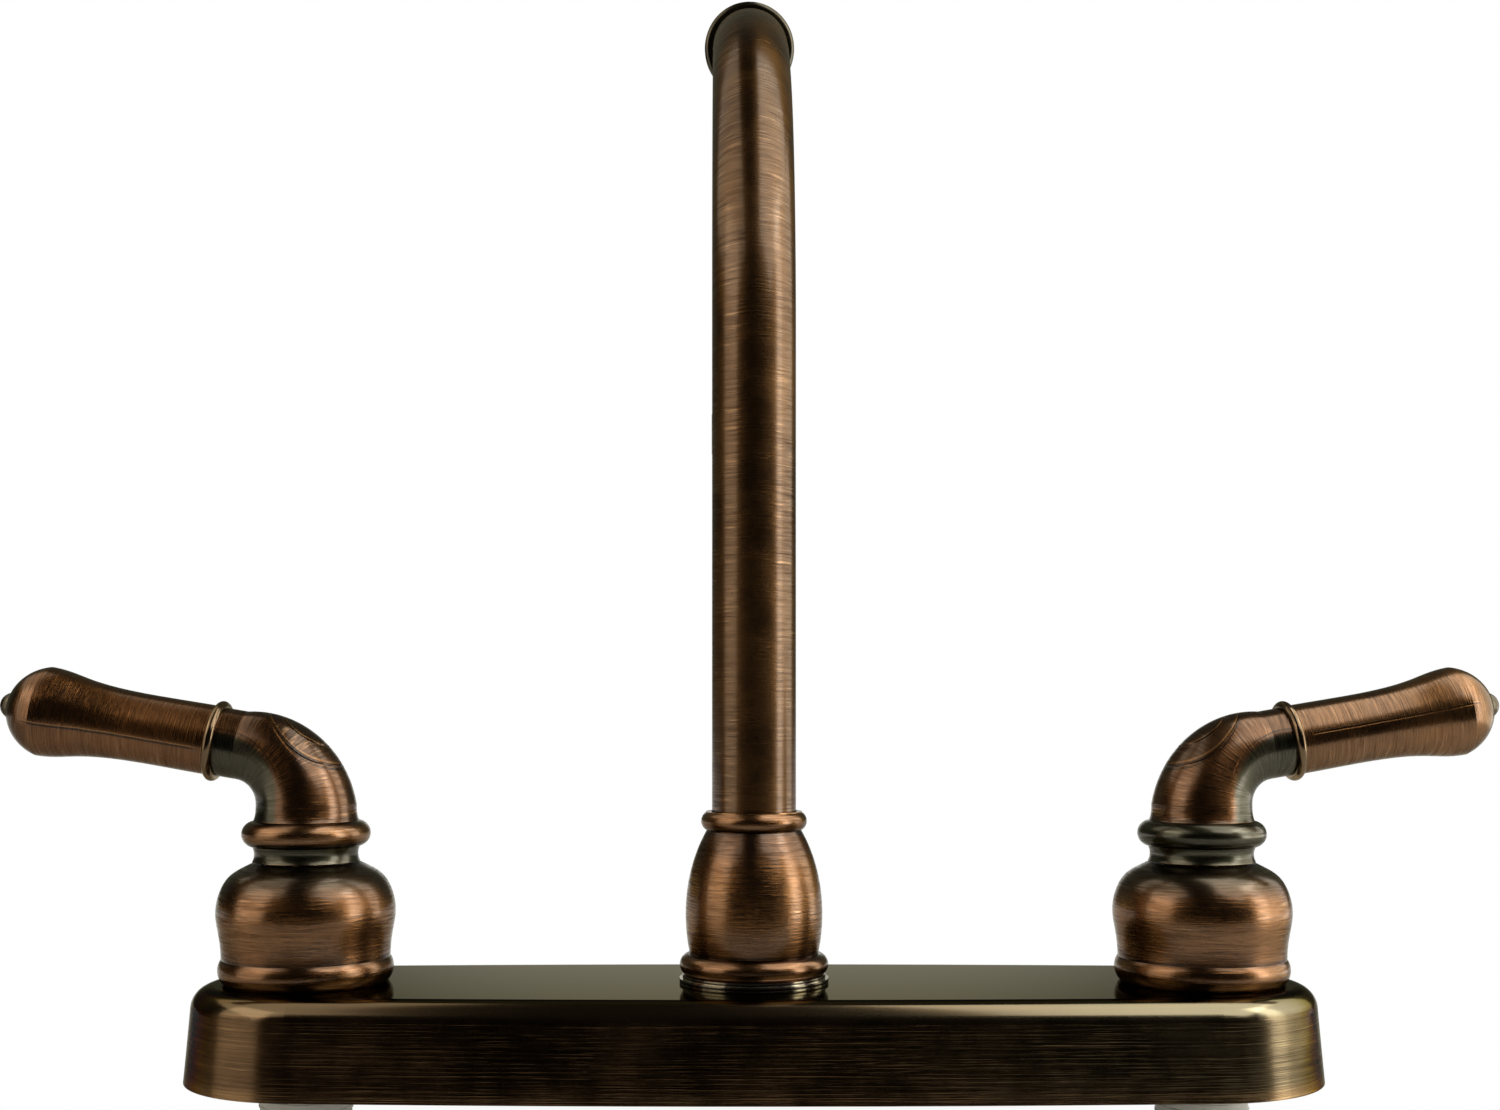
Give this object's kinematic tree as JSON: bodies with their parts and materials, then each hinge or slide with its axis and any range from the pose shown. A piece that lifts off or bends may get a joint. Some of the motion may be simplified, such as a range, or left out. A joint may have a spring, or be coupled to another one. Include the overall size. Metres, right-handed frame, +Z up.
{
  "type": "two handle kitchen faucet",
  "caption": "Two handle kitchen faucet on one deck cover: pot-shaped hubs with lever handles, a bell-shaped nut and a tall swivel spout, in brushed dark bronze.",
  "frame": {"origin": "middle of the deck cover's underside, on the spout's axis, where the faucet rests on the sink", "axes": "+X along the deck cover towards the right valve, +Y the way the spout reaches, +Z up along the spout's axis"},
  "size_m": [0.3417, 0.2275, 0.3171],
  "materials": {
    "bronze": "brushed, dark oil-rubbed bronze",
    "raw_brass": "cast and turned",
    "steel": "bright",
    "plastic": "moulded",
    "rubber": "matt",
    "ceramic": "lapped"
  },
  "bodies": {
    "deck": {"deck_cover": "bronze", "base_gasket": "rubber", "centre_body": "plastic", "spout_base_ring": "bronze", "spout_nut": "bronze", "spout_bushing": "plastic", "left_valve_body": "plastic", "left_crossover_tube": "plastic", "left_mounting_washer": "steel", "left_mounting_nut": "plastic", "left_hub_cover": "bronze", "left_cartridge_body": "plastic", "left_seat_seal": "rubber", "left_fixed_disc": "ceramic", "right_valve_body": "plastic", "right_crossover_tube": "plastic", "right_mounting_washer": "steel", "right_mounting_nut": "plastic", "right_hub_cover": "bronze", "right_cartridge_body": "plastic", "right_seat_seal": "rubber", "right_fixed_disc": "ceramic"},
    "spout": {"spout_tube": "bronze", "spout_collar": "bronze", "spout_ferrule": "raw_brass", "spout_o_rings": "rubber", "aerator_housing": "bronze", "aerator_washer": "rubber", "aerator_insert": "plastic"},
    "left_lever": {"left_turning_disc": "ceramic", "left_cartridge_stem": "raw_brass", "left_stem_o_ring": "rubber", "left_lever_elbow": "bronze", "left_elbow_cap": "bronze", "left_handle_screw": "steel", "left_lever_ring": "bronze", "left_lever_grip": "bronze"},
    "right_lever": {"right_turning_disc": "ceramic", "right_cartridge_stem": "raw_brass", "right_stem_o_ring": "rubber", "right_lever_elbow": "bronze", "right_elbow_cap": "bronze", "right_handle_screw": "steel", "right_lever_ring": "bronze", "right_lever_grip": "bronze"}
  },
  "joints": [
    {"name": "spout_swivel", "type": "hinge", "parent": "deck", "child": "spout", "pos_m": [0, 0, 0], "axis": [0, 0, 1], "continuous": true},
    {"name": "left_lever_turn", "type": "hinge", "parent": "deck", "child": "left_lever", "pos_m": [-0.1016, 0, 0], "axis": [0, 0, 1], "range_deg": [-90, 0]},
    {"name": "right_lever_turn", "type": "hinge", "parent": "deck", "child": "right_lever", "pos_m": [0.1016, 0, 0], "axis": [0, 0, 1], "range_deg": [-4, 86]}
  ]
}
